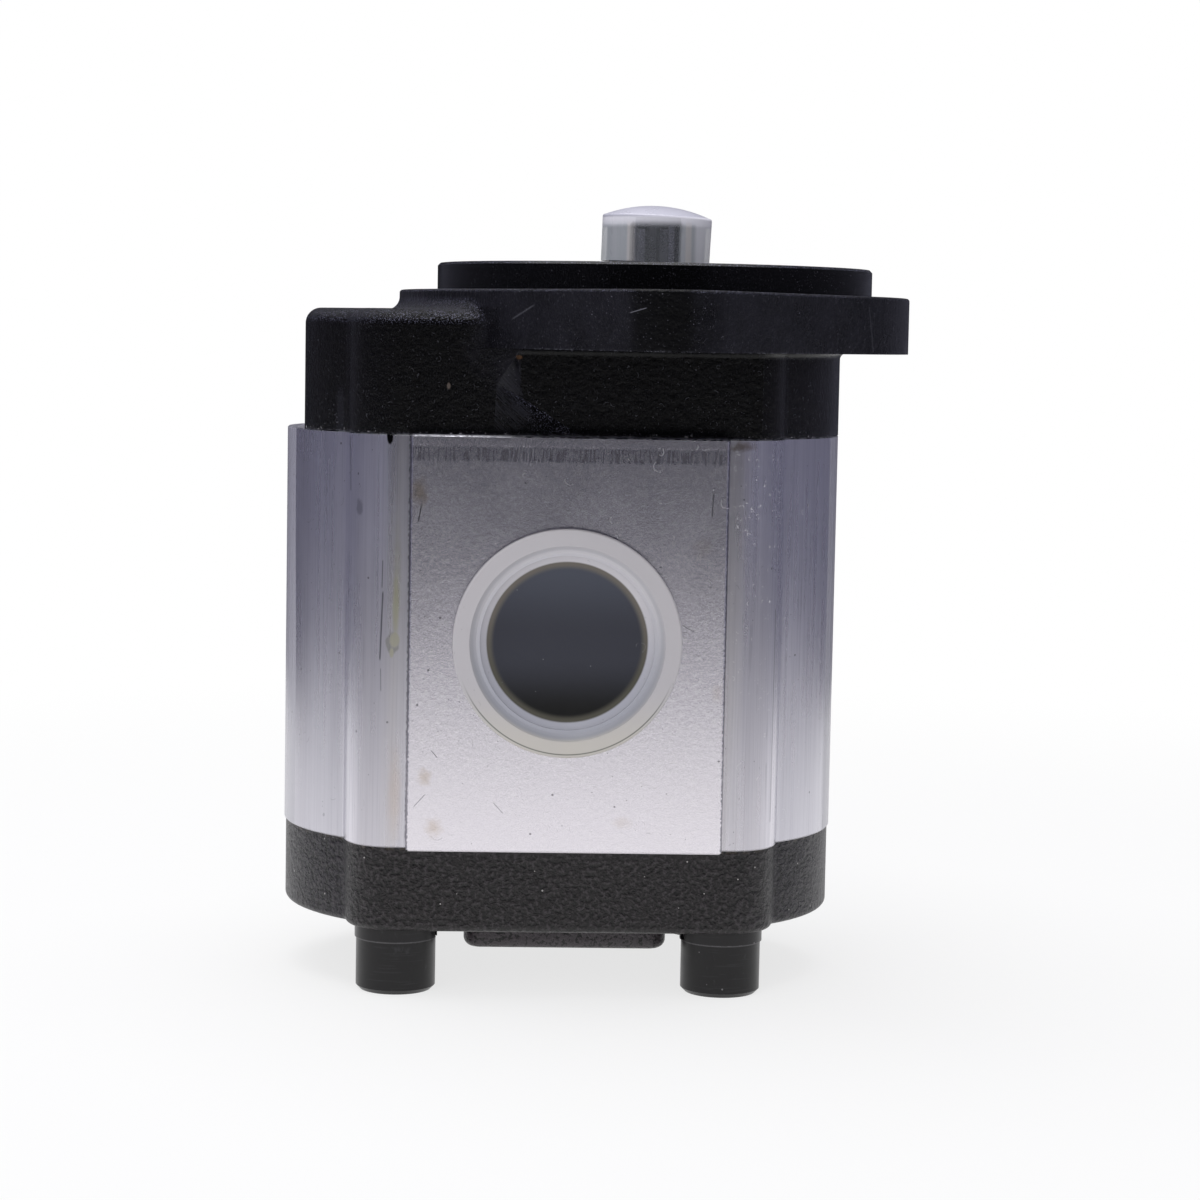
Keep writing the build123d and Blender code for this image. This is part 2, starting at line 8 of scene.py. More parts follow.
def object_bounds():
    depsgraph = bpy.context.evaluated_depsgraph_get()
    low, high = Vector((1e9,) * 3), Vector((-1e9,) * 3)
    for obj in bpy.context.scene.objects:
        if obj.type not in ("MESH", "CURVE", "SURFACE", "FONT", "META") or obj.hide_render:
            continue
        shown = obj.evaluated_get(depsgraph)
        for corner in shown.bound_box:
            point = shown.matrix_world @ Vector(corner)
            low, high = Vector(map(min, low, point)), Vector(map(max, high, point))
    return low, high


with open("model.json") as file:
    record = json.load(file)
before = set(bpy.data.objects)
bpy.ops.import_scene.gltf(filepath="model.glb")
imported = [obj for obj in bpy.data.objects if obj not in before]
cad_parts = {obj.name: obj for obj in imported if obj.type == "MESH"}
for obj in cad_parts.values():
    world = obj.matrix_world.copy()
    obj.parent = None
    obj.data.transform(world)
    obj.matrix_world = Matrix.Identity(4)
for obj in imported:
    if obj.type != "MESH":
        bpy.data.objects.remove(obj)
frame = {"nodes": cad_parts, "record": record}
nodes = frame["nodes"]
cad_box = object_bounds()

MM = 1000.0

# Places on the pump, in millimetres
MIDDLE = -20.75
LOBE_START = 47.5
LEFT_FLANK = -82.0
RIGHT_FLANK = 41.0
BLOCK_FACE = 46.0
PAD_FACE = 50.0
PAD_EDGE = 35.05
CAP_RIM = 18.2
SHOULDER_TOP = -4.6
FLANGE_BOTTOM = -12.9
BODY_TOP = -32.0
BODY_BOTTOM = -124.0
COVER_BOTTOM = -143.0
WASHER_BOTTOM = -146.0
PORT = (-20.3, -77.3)
INLET_RADIUS = 19.6
OUTLET_RADIUS = 15.65
THREAD_PITCH = 2.117
THREAD_LENGTH = 20.0

# Tones of more than one mark
GLINT = (1.0, 0.99, 1.0)
STAIN = (0.56, 0.42, 0.27)
DEEP_MARK = (0.10, 0.10, 0.12)

# Marks on the inlet's side, as places (X, Z) in millimetres. A stain has a middle, radii and a strength.
FRONT_STAINS = [
    ((-53.1, -44.5), (2.6, 4.2), 0.50),
    ((-51.4, -107.5), (2.2, 2.8), 0.38),
    ((-49.2, -118.6), (2.7, 2.9), 0.36),
    ((-7.5, -117.0), (3.2, 2.0), 0.16),
    ((9.0, -56.0), (3.0, 3.6), 0.12),
    ((13.0, -88.0), (2.0, 3.0), 0.15),
]
# A scratch has a start, an end, a width and a strength.
FRONT_SCRATCHES = [
    ((-52.7, -47.3), (-53.4, -51.0), 0.35, 0.7),
    ((-61.2, -60.0), (-61.3, -66.0), 0.30, 0.6),
    ((-61.1, -67.0), (-61.6, -82.0), 0.45, 0.75),
    ((-61.4, -84.0), (-61.3, -89.0), 0.25, 0.5),
    ((-49.9, -101.5), (-48.6, -103.0), 0.25, 0.6),
    ((-53.6, -114.0), (-51.2, -111.3), 0.25, 0.5),
    ((11.2, -44.0), (11.0, -49.0), 0.40, 0.5),
    ((5.0, -73.0), (7.6, -74.4), 0.25, 0.5),
    ((-36.0, -113.0), (-34.0, -115.2), 0.22, 0.5),
    ((-68.9, -33.0), (-68.7, -45.0), 0.30, 0.5),
    ((26.4, -70.0), (26.2, -118.0), 0.35, 0.35),
]
COVER_SCRATCHES = [
    ((-9.4, -4.9), (-6.2, -3.9), 0.25, 0.5),
    ((-33.5, -6.5), (-29.0, -3.5), 0.45, 0.16),
    ((45.9, -2.5), (47.3, -12.4), 0.35, 0.10),
]


class Field:
    """A value that varies over a surface. Arithmetic on it adds Math nodes to its tree."""

    def __init__(self, maker, socket):
        self.maker = maker
        self.socket = socket

    def maths(self, operation, first, second=0.0):
        return self.maker.node("Math", {"operation": operation}, {0: first, 1: second})

    def output(self, name):
        """Another output of the same node."""
        return Field(self.maker, self.socket.node.outputs[name])

    def __add__(self, other):
        return self.maths("ADD", self, other)

    def __sub__(self, other):
        return self.maths("SUBTRACT", self, other)

    def __rsub__(self, other):
        return self.maths("SUBTRACT", other, self)

    def __mul__(self, other):
        return self.maths("MULTIPLY", self, other)

    def __truediv__(self, other):
        return self.maths("DIVIDE", self, other)

    def __pow__(self, other):
        return self.maths("POWER", self, other)

    def __abs__(self):
        return self.maths("ABSOLUTE", self)

    __radd__ = __add__
    __rmul__ = __mul__


class Maker:
    """Adds nodes to a tree, and links or sets their sockets."""

    def __init__(self, tree):
        self.tree = tree

    def feed(self, socket, value):
        if isinstance(value, Field):
            self.tree.links.new(value.socket, socket)
        elif socket.type == "RGBA":
            socket.default_value = (*value, 1.0)
        else:
            socket.default_value = value

    def node(self, kind, settings=None, inputs=None, output=0):
        made = self.tree.nodes.new("ShaderNode" + kind)
        for name, value in (settings or {}).items():
            setattr(made, name, value)
        for name, value in (inputs or {}).items():
            self.feed(made.inputs[name], value)
        return Field(self, made.outputs[output])

    def rise(self, value, low, high, bottom=0.0):
        """Goes smoothly from bottom below low to 1 above high."""
        return self.node("MapRange", {"interpolation_type": "SMOOTHSTEP"},
                         {"Value": value, "From Min": low, "From Max": high, "To Min": bottom})


class Finish(Maker):
    """A material being made, with its shader, its colour so far, and places in millimetres."""

    def __init__(self, name, **constants):
        self.material = bpy.data.materials.new(name)
        self.material.use_nodes = True
        super().__init__(self.material.node_tree)
        self.shader = self.tree.nodes["Principled BSDF"]
        self.varies(**constants)
        self.colour = None
        metres = self.node("TexCoord", output="Object")
        self.place = self.node("VectorMath", {"operation": "SCALE"}, {0: metres, "Scale": MM})
        self.x = self.node("SeparateXYZ", {}, {0: self.place}, "X")
        self.y = self.x.output("Y")
        self.z = self.x.output("Z")
        self.facing = self.node("NewGeometry", output="Normal")
        self.normal = None

    def varies(self, **fields):
        """Feeds the shader's sockets, with _ for a space in their names."""
        for socket, value in fields.items():
            self.feed(self.shader.inputs[socket.replace("_", " ")], value)

    def scaled(self, size, stretch=(1, 1, 1), shift=0.0):
        scale = [1 / (size * s) for s in stretch]
        return self.node("VectorMath", {"operation": "MULTIPLY_ADD"},
                         {0: self.place, 1: scale, 2: (shift, 2 * shift, 3 * shift)})

    def noise(self, size, stretch=(1, 1, 1), detail=2.0, rough=0.5, shift=0.0):
        """Clouds from 0 to 1, about that many millimetres across."""
        place = self.scaled(size, stretch, shift)
        inputs = {"Vector": place, "Scale": 1.0, "Detail": detail, "Roughness": rough}
        return self.node("TexNoise", {}, inputs)

    def cells(self, size, share, shift):
        """The distance from each cell's middle, and a mask of that share of the cells."""
        place = self.scaled(size, shift=shift)
        cell = self.node("TexVoronoi", {}, {"Vector": place, "Scale": 1.0}, "Distance")
        chance = self.node("SeparateXYZ", {}, {0: cell.output("Color")}, "X")
        return cell, self.rise(chance, 1 - share, 1.001 - share)

    def fall(self, value, low, high):
        return 1 - self.rise(value, low, high)

    def band(self, value, low, high, soft):
        """1 between low and high, with ends that soft blurs."""
        return self.rise(value, low - soft, low + soft) * self.fall(value, high - soft, high + soft)

    def blend(self, amount, first, second):
        return self.node("Mix", {"data_type": "RGBA"}, {0: amount, 6: first, 7: second}, 2)

    def coat(self, amount, tone):
        """Lays a tone over the colour so far."""
        self.colour = self.blend(amount, self.colour, tone)

    def limit(self, value):
        """Keeps a value between 0 and 1."""
        return self.node("Clamp", {}, {"Value": value})

    def hairs(self, size, share, shift=0.0, thick=0.07):
        """Short curved hairlines, one in that share of the cells, thick in millimetres."""
        bent = self.noise(size * 0.4, detail=2.0, shift=shift) - 0.5
        distance, chosen = self.cells(size, share, shift)
        off = abs(distance + bent * 0.15 - 0.28)
        part = self.rise(self.noise(size * 0.35, detail=1.0, shift=shift + 3.0), 0.57, 0.61)
        width = thick / size
        return self.fall(off, width * 0.4, width) * part * chosen

    def specks(self, size, share, radius, shift=0.0):
        """Scattered spots: that share of the cells hold one, radius as a part of the cell."""
        distance, chosen = self.cells(size, share, shift)
        return self.fall(distance, radius * 0.6, radius) * chosen

    def reach(self, centre, radii=(1.0, 1.0)):
        """How far a place is from a point of the front, as a share of the radii."""
        across = (self.x - centre[0]) / radii[0]
        up = (self.z - centre[1]) / radii[1]
        return (across * across + up * up) ** 0.5

    def on_front(self):
        return self.fall(self.y, -20, -10)

    def patch(self, centre, radii, soft=0.5, ragged=0.0):
        """A stain in the plane of the front, seen from the inlet's side."""
        reach = self.reach(centre, radii)
        if ragged:
            reach = reach + (self.noise(1.5, detail=3.0, shift=centre[0]) - 0.5) * ragged
        return self.fall(reach, 1 - soft, 1.0) * self.on_front()

    def scratch(self, start, end, width):
        """A thin straight mark between two points of the front."""
        across = Vector((end[0] - start[0], end[1] - start[1]))
        length = across.length
        dx, dz = across.normalized()
        along = (self.x - start[0]) * dx + (self.z - start[1]) * dz
        off = abs((self.x - start[0]) * dz - (self.z - start[1]) * dx)
        line = self.fall(off, width * 0.25, width * 0.5) * self.band(along, 0, length, width)
        return line * self.on_front()

    def slope(self, axis):
        """How far the surface faces along an axis, from -1 to 1."""
        return self.node("VectorMath", {"operation": "DOT_PRODUCT"}, {0: self.facing, 1: axis}, "Value")

    def edges(self, width):
        """1 along sharp edges and 0 on flat surfaces."""
        rounded = self.node("Bevel", {"samples": 6}, {"Radius": width / MM})
        return self.fall(self.slope(rounded), 0.80, 0.97)

    def bump(self, height, depth):
        """Raises the surface by height, from 0 to 1, times depth in millimetres."""
        inputs = {"Height": height, "Distance": depth / MM, "Strength": 1.0}
        if self.normal:
            inputs["Normal"] = self.normal
        self.normal = self.node("Bump", {}, inputs)
        self.feed(self.shader.inputs["Normal"], self.normal)


def port_thread(look, radius):
    """Groove heights of a port's thread, on the wall of that bore only."""
    depth = abs(look.y)
    start = PAD_FACE - THREAD_LENGTH
    wall = look.band(look.reach(PORT), radius - 0.6, radius + 0.6, 0.1)
    wall = wall * look.rise(depth, start, start + 2)
    half = THREAD_PITCH / 2
    wave = depth.maths("PINGPONG", depth, half) / half
    return wall * wave, wall


def front_marks(look):
    """Stains, a dried drip, scratches and smears on the body's front."""
    for centre, radii, strength in FRONT_STAINS:
        look.coat(look.patch(centre, radii, 0.9, 0.9) * strength, STAIN)
    drip = look.limit(
        look.patch((-58.2, -70.0), (1.0, 9.5), 0.7, 0.3)
        + look.patch((-58.4, -77.6), (1.4, 2.0), 0.4, 0.2)
        + look.patch((-59.0, -80.4), (0.6, 1.4), 0.5, 0.2)
    )
    tail = look.patch((-58.0, -63.0), (1.3, 17.0), 0.9, 0.3)
    look.coat(tail * 0.30, (0.62, 0.60, 0.42))
    look.coat(drip * 0.5, (0.60, 0.585, 0.34))
    drip_edge = look.patch((-58.9, -78.2), (1.7, 2.6), 0.3, 0.4) * (1 - drip)
    look.coat(drip_edge * 0.5, (0.28, 0.28, 0.22))
    for start, end, width, strength in FRONT_SCRATCHES:
        look.coat(look.scratch(start, end, width) * strength, DEEP_MARK)
    smudge = look.patch((-66.6, -48.5), (0.9, 2.4), 0.6, 0.9)
    look.coat(smudge * 0.5, (0.24, 0.24, 0.30))
    paint_run = look.patch((-59.9, -32.6), (0.8, 2.0), 0.3, 0.3)
    look.coat(paint_run, (0.01, 0.01, 0.012))
    rust = look.patch((18.0, -33.7), (3.8, 1.5), 0.9, 1.6)
    look.coat(rust * 0.6, (0.20, 0.12, 0.06))


def extruded_aluminium():
    """Drawn sides with streaks along the shaft, and pads milled matt, with the marks of handling. Some of
    its tones are painted light and shade.
    """
    look = Finish("extruded_aluminium")
    depth = abs(look.y)
    off_middle = abs(look.x - MIDDLE)
    pad = look.rise(depth, BLOCK_FACE + 1.0, BLOCK_FACE + 1.5)
    ends = look.rise(abs(look.slope((0, 0, 1))), 0.5, 0.9)
    side = 1 - pad

    fine_streaks = look.noise(0.45, (1, 1, 120), 3.0, 0.7)
    streaks = look.noise(1.6, (1, 1, 70), 3.0, 0.6, 3.0)
    wide_streaks = look.noise(6.0, (1, 1, 25), 2.0, 0.5, 4.0)
    clouds = look.noise(16.0, (1, 1, 1.4), 3.0, 0.55, 9.0)
    mottle = look.noise(0.40, detail=3.0, rough=0.7)
    peel = look.noise(0.9, detail=2.0, rough=0.6, shift=17.0)
    high = look.rise(look.z, BODY_BOTTOM, BODY_TOP)
    drawn = look.blend(streaks, (0.68, 0.66, 0.72), (0.82, 0.80, 0.86))
    drawn = look.blend(look.rise(fine_streaks, 0.40, 0.62) * 0.45, drawn, (0.90, 0.88, 0.94))
    drawn = look.blend(look.fall(fine_streaks, 0.38, 0.46) * 0.25, drawn, (0.52, 0.51, 0.57))
    drawn = look.blend(look.fall(wide_streaks, 0.30, 0.48) * 0.22, drawn, (0.60, 0.58, 0.62))
    # Painted light and shade: the drawn sides turn bluer towards the top, and the lobes darker towards the
    # bottom.
    drawn = look.blend(high * 0.35, drawn, (0.74, 0.74, 0.90))
    lobes = look.rise(off_middle, LOBE_START, LOBE_START + 1.0)
    drawn = look.blend(lobes * look.fall(high, 0.0, 0.45) * 0.5, drawn, (0.55, 0.545, 0.60))
    milled = look.blend(clouds, (0.86, 0.82, 0.88), (0.95, 0.91, 0.96))
    grain = 0.16 + high * 0.84
    milled = look.blend(look.rise(mottle, 0.42, 0.60) * grain, milled, (0.66, 0.63, 0.70))
    milled = look.blend(look.rise(peel, 0.50, 0.62) * grain * 0.6, milled, (1.0, 0.98, 1.0))
    # Painted shade: the milled pads turn darker and bluer towards the top.
    milled = look.blend(high * 0.40, milled, (0.82, 0.81, 0.96))
    look.colour = look.blend(pad, drawn, milled)

    score_band = look.band(look.z + mottle * 0.8, BODY_TOP - 5.0, BODY_TOP - 1.9, 0.4) * pad
    ticks = look.rise(look.noise(0.40, (1, 1, 14), 0.0, 0.5, 6.0), 0.46, 0.56)
    look.coat(score_band * (0.06 + ticks * 0.44), (0.40, 0.39, 0.44))
    # Painted shade: faces that slope upwards, such as bevels, are drawn darker.
    bevel = look.band(look.slope((0, 0, 1)), 0.35, 0.90, 0.05)
    look.coat(bevel, look.blend(look.rise(streaks, 0.40, 0.55), (0.14, 0.14, 0.16), (0.45, 0.45, 0.5)))
    ragged = abs(look.x - PORT[0]) + look.noise(0.45, (1, 1, 1.4), 2.0, 0.6, 19.0) * 0.9
    pad_edge = look.band(ragged, PAD_EDGE + 0.05, PAD_EDGE + 0.65, 0.10)
    look.coat(pad_edge * look.rise(depth, BLOCK_FACE - 1, BLOCK_FACE) * 0.8, (0.16, 0.16, 0.19))
    block = look.band(off_middle, PAD_EDGE + 0.35, LOBE_START - 0.5, 1.0) * side
    block = block * look.rise(depth, BLOCK_FACE - 6, BLOCK_FACE - 2)
    # Painted shade: the blocks beside the pads are drawn darker over their lower part.
    look.coat(block * look.fall(high, 0.55, 1.0) * 0.45, (0.56, 0.54, 0.58))
    look.coat(block * look.rise(wide_streaks, 0.45, 0.6) * 0.16, (0.62, 0.57, 0.55))
    warm = look.patch((-58.0, -112.0), (2.2, 15.0), 0.9, 0.3)
    look.coat(warm * 0.4, (0.66, 0.54, 0.46))
    # Painted light and shade: a strip beside the left flank is drawn darker, and the side faces get a dull,
    # less metallic tone, lighter below and darker above.
    flank = look.fall(look.x + look.rise(look.z, -95, -45) * 0.5, LEFT_FLANK, LEFT_FLANK + 0.2)
    beside = look.fall(look.x, LEFT_FLANK + 1.5, LEFT_FLANK + 5) * (1 - flank) * look.fall(look.y, -6, -4)
    look.coat(beside * 0.35, (0.50, 0.48, 0.54))
    sides = look.limit(flank + look.rise(look.x, RIGHT_FLANK - 0.8, RIGHT_FLANK))
    look.coat(sides * 0.9, look.blend(high, (0.50, 0.49, 0.54), (0.30, 0.295, 0.36)))
    drawn_lines = look.rise(look.noise(0.5, (1, 1, 60), 2.0, 0.5, 11.0), 0.64, 0.70) * side
    in_parts = look.rise(look.noise(3.0, (1, 1, 3)), 0.42, 0.52)
    look.coat(drawn_lines * in_parts * 0.22, (0.30, 0.29, 0.33))

    for size, share, strength, shift in ((2.3, 0.10, 0.65, 3.0), (1.1, 0.05, 0.6, 8.0)):
        look.coat(look.specks(size, share, 0.14, shift) * strength, (0.14, 0.13, 0.15))
    hairs = (look.hairs(5.0, 0.22, 5.0) + look.hairs(3.4, 0.12, 12.0)) * look.rise(look.x, -50, 10)
    look.coat(hairs * 0.5, GLINT)
    right_block = look.band(look.x, 15.5, 27.0, 1.5) * look.rise(look.z, -112, -80)
    curls = look.hairs(1.7, 0.8, 31.0, 0.13) * right_block
    curls = curls * look.rise(look.noise(7.0, detail=2.0, shift=23.0), 0.38, 0.50)
    look.coat(curls * 0.6, GLINT)
    look.coat(look.hairs(6.0, 0.30, 21.0) * 0.40, (0.25, 0.24, 0.27))
    front_marks(look)

    burr = look.edges(0.25) * look.rise(look.noise(0.8, detail=3.0, rough=0.7, shift=14.0), 0.42, 0.50)
    look.coat(burr * 0.7, (1.0, 1.0, 1.0))
    seam_burr = look.rise(look.z + mottle * 0.5, BODY_TOP + 0.02, BODY_TOP + 0.15)
    seam_burr = seam_burr * look.rise(streaks + mottle, 0.95, 1.05)
    grooves_in, wall_in = port_thread(look, INLET_RADIUS)
    grooves_out, wall_out = port_thread(look, OUTLET_RADIUS)
    look.coat(look.limit(wall_in + wall_out), (0.78, 0.77, 0.80))
    look.varies(
        Base_Color=look.colour,
        # The side faces are made less metallic as part of their painted light.
        Metallic=1 - sides * 0.8,
        Roughness=look.limit(
            0.28 - pad * 0.03 + (streaks - 0.5) * 0.08 * side + ends * 0.08 + (clouds - 0.5) * 0.06
            - score_band * 0.02 + (hairs + burr + seam_burr) * 0.20 + curls * 0.40
        ),
    )
    look.bump(fine_streaks * side * (1 - ends), 0.016)
    look.bump(mottle, 0.006)
    look.bump(peel * pad, 0.013)
    look.bump(ticks * score_band, -0.015)
    look.bump(seam_burr, 0.12)
    look.bump(grooves_in + grooves_out, -0.9)
    return look.material


def black_casting():
    """Glossy black paint over a cast skin, with chips, dust and ground places. Some of its tones are painted
    light and shade, with painted sheen and glints.
    """
    look = Finish("black_casting", IOR=1.30)
    skin = look.noise(0.7, detail=4.0, rough=0.7)
    grit = look.noise(0.28, detail=2.0, rough=0.6, shift=1.0)
    pebbles = look.noise(1.6, detail=2.0, shift=5.0)
    clouds = look.noise(9.0, detail=3.0, shift=2.0)
    up_facing = look.rise(look.slope((0, 0, 1)), 0.15, 0.6)
    pilot = look.rise(look.z, 0.15, 0.25)
    beside_knee = look.fall(look.x, -32.0, -31.0)
    low = look.fall(
        look.z + beside_knee * (3 + clouds * 12),
        FLANGE_BOTTOM - 0.7 - beside_knee * 4,
        FLANGE_BOTTOM + 0.3 + beside_knee * 2,
    )
    shoulder = look.fall(look.x + (clouds - 0.5) * 16, -44.0, -30.0)
    shoulder = shoulder * look.fall(look.z, SHOULDER_TOP + 0.2, SHOULDER_TOP + 1.0)
    flange = (1 - low) * (1 - pilot) * (1 - shoulder)
    patchy = look.patch((-37.0, -13.0), (8.0, 9.0), 0.9, 0.8)
    right = look.rise(look.x, 24.0, 30.0)
    look.colour = look.blend(clouds, (0.0004, 0.0004, 0.0005), (0.0012, 0.0011, 0.0013))
    look.coat(pilot * 0.5, (0.0026, 0.0026, 0.0034))
    # Painted light and shade: the flange is drawn lighter than the neck under it and the shoulder beside it.
    cloudy = 0.45 + look.rise(clouds, 0.30, 0.62) * 0.55
    look.coat(look.limit(flange + patchy * 0.8) * cloudy, (0.0074, 0.0071, 0.0106))
    sheen = look.limit(up_facing + look.rise(look.slope((0, 0, 1)), 0.02, 0.2) * 0.5)
    look.coat(look.rise(grit, 0.56, 0.68) * (0.35 + flange * 0.45), (0.022, 0.022, 0.028))
    # Painted sheen: light blue-grey grains on surfaces that face up.
    look.coat(look.rise(grit, 0.56, 0.62) * sheen * 0.9, (0.14, 0.14, 0.20))
    # Painted light: the low part on the right is drawn a little lighter.
    look.coat(low * right * 0.6, (0.0035, 0.0035, 0.0055))
    # Painted light and shade: the left end is drawn in a middle tone of its own, which fades out downwards.
    left_side = look.fall(look.x, -81.0, -76.0) * look.rise(look.z, -32, -12)
    look.coat(left_side * 0.5, (0.004, 0.004, 0.006))
    # Painted shade: the nose of the front ear is drawn darker.
    nose = look.band(look.x, -9.0, 3.5, 1.5) * flange * look.fall(look.y, -70, -60)
    look.coat(nose * 0.9, (0.0012, 0.0012, 0.0014))
    # Painted shade: the far end of the flange is drawn darker.
    far_end = look.rise(look.x, 38.0, 46.0) * flange
    look.coat(far_end * 0.6, (0.0025, 0.0025, 0.0040))

    # Painted highlight: a lighter line where lobe and block meet.
    crease_highlight = look.band(look.x, -72.4, -70.6, 0.5) * look.fall(look.y, -30, -20) * low
    look.coat(crease_highlight * 0.5, (0.016, 0.016, 0.022))
    # Dust grains, and painted glints standing in for light caught by the paint's grain; more of both on
    # up-facing surfaces.
    dust_and_glint = look.limit(0.30 + flange * 0.45 + up_facing * 0.7 + right * 0.3)
    # Layers of dust grains and painted glints: size, share, radius, strength and shift
    sparkle = (
        (0.38, 0.34, 0.26, 0.30, 2.0),
        (0.60, 0.22, 0.24, 0.50, 4.0),
        (1.00, 0.16, 0.17, 0.80, 6.0),
        (2.40, 0.14, 0.08, 1.00, 13.0),
    )
    for size, share, radius, strength, shift in sparkle:
        where = look.rise(look.noise(5.0, detail=4.0, rough=0.65, shift=shift), 0.40, 0.60)
        grains = look.specks(size, share, radius, shift=shift) * where
        look.coat(grains * dust_and_glint * strength, (0.20, 0.195, 0.24))
    curls = look.hairs(1.8, 0.35, 4.0) + look.hairs(2.9, 0.25, 9.0)
    look.coat(curls * (0.25 + low * 0.15), DEEP_MARK)
    wear = look.noise(1.1, detail=4.0, rough=0.7, shift=7.0)
    worn = (1 - pilot) * (1 - look.patch((-37.0, FLANGE_BOTTOM), (9.0, 1.2), 0.3))
    chips = look.edges(0.45) * look.rise(wear, 0.50, 0.58) * worn
    look.coat(chips * 0.75, (0.20, 0.20, 0.23))
    # Patchy lighter tone along the edges.
    lighter_edges = look.edges(1.2) * look.rise(wear, 0.35, 0.65) * worn
    look.coat(lighter_edges * 0.45, (0.045, 0.045, 0.058))
    seam_chips = look.rise(look.noise(0.9, detail=4.0, rough=0.75), 0.60, 0.66)
    seam = look.fall(look.z, BODY_TOP + 0.25, BODY_TOP + 0.9) * seam_chips
    look.coat(seam * 0.7, (0.42, 0.41, 0.44))
    ground = look.patch((-34.0, -24.5), (6.0, 8.0), 0.25, 0.1)
    ground = ground * look.rise(abs(look.slope((1, 0, 0))), 0.05, 0.15)
    aslant = look.node("CombineXYZ", {}, {0: (look.x + look.z) * 2.4, 2: (look.z - look.x) * 0.12})
    lines = look.node("TexNoise", {}, {"Vector": aslant, "Scale": 1.0, "Detail": 2.0})
    look.coat(ground * look.rise(lines, 0.35, 0.65) * 0.8, (0.020, 0.020, 0.026))
    for start, end, width, strength in COVER_SCRATCHES:
        look.coat(look.scratch(start, end, width) * strength, (0.22, 0.22, 0.26))
    speck = look.patch((-31.9, -14.8), (0.9, 0.6), 0.5, 0.5)
    look.coat(speck * 0.7, (0.14, 0.07, 0.03))
    brown_speck = look.patch((-47.2, -21.4), (0.5, 1.0), 0.6, 0.8)
    look.coat(brown_speck * 0.8, (0.10, 0.08, 0.07))
    turned = look.noise(0.35, (60, 60, 1), 2.0, 0.6) * pilot
    look.varies(
        Base_Color=look.colour,
        Roughness=0.19 + clouds * 0.12 + flange * 0.04 + up_facing * 0.05,
    )
    look.bump(skin * (1 - pilot) * (1 + up_facing * 2.5), 0.16)
    look.bump(pebbles * (1 - pilot) * (1 + up_facing), 0.15)
    look.bump(turned, 0.02)
    look.bump(chips, -0.03)
    return look.material


def brown_casting():
    """A thin brown-black coat over rough cast iron, pebbled all over, with painted light on the boss and
    lobes, and painted shade and highlights on the pebbles.
    """
    look = Finish("brown_casting", IOR=1.5)
    pebbles = look.noise(0.95, detail=3.0, rough=0.6)
    coarse = look.noise(2.6, detail=2.0, rough=0.5, shift=4.0)
    tone = look.noise(8.0, detail=3.0, shift=3.0)
    look.colour = look.blend(tone, (0.007, 0.005, 0.0055), (0.012, 0.0095, 0.0105))
    # Painted light: the boss at the bottom is drawn lighter.
    boss = look.fall(look.z, COVER_BOTTOM - 0.6, COVER_BOTTOM - 0.2)
    look.coat(boss * 0.9, (0.078, 0.064, 0.072))
    # Painted light: the lobes are drawn lighter.
    lobes = look.rise(abs(look.x - MIDDLE), LOBE_START - 0.5, LOBE_START + 1.5)
    look.coat(lobes * 0.6, (0.020, 0.018, 0.026))
    # Painted shade in the pebbles' pits and painted highlights on their tops.
    look.coat(look.fall(pebbles, 0.40, 0.49) * 0.95, (0.0010, 0.0008, 0.0008))
    look.coat(look.rise(pebbles, 0.52, 0.62) * 0.65, (0.048, 0.041, 0.046))
    look.coat(look.specks(1.9, 0.10, 0.12, shift=5.0), (0.45, 0.43, 0.42))
    seam = look.rise(look.z, BODY_BOTTOM - 0.9, BODY_BOTTOM - 0.2)
    in_parts = look.rise(look.noise(1.5, detail=3.0), 0.5, 0.6)
    look.coat(seam * in_parts * 0.4, (0.10, 0.08, 0.06))
    flow_line = look.scratch((-73.8, -124.2), (-73.4, -141.0), 0.35)
    look.coat(flow_line * 0.8, (0.001, 0.001, 0.001))
    look.varies(Base_Color=look.colour, Roughness=0.33 + tone * 0.10)
    look.bump(pebbles, 0.42)
    look.bump(coarse, 0.25)
    return look.material


def plain_metal(name, low, high, roughness, grain_size):
    """A metal with soft changes of tone and a fine grain."""
    look = Finish(name, Metallic=1.0)
    grain = look.noise(grain_size, detail=3.0, rough=0.6)
    tone = look.noise(grain_size * 12, detail=3.0, shift=2.0)
    look.colour = look.blend(tone, low, high)
    worn = look.edges(0.3) * look.rise(look.noise(1.2, detail=3.0, shift=8.0), 0.4, 0.6)
    look.coat(worn * 0.4, [1.25 * tint + 0.02 for tint in high])
    look.varies(Base_Color=look.colour, Roughness=roughness + (grain - 0.5) * 0.14 + (tone - 0.5) * 0.1)
    look.bump(grain, 0.012)
    return look.material


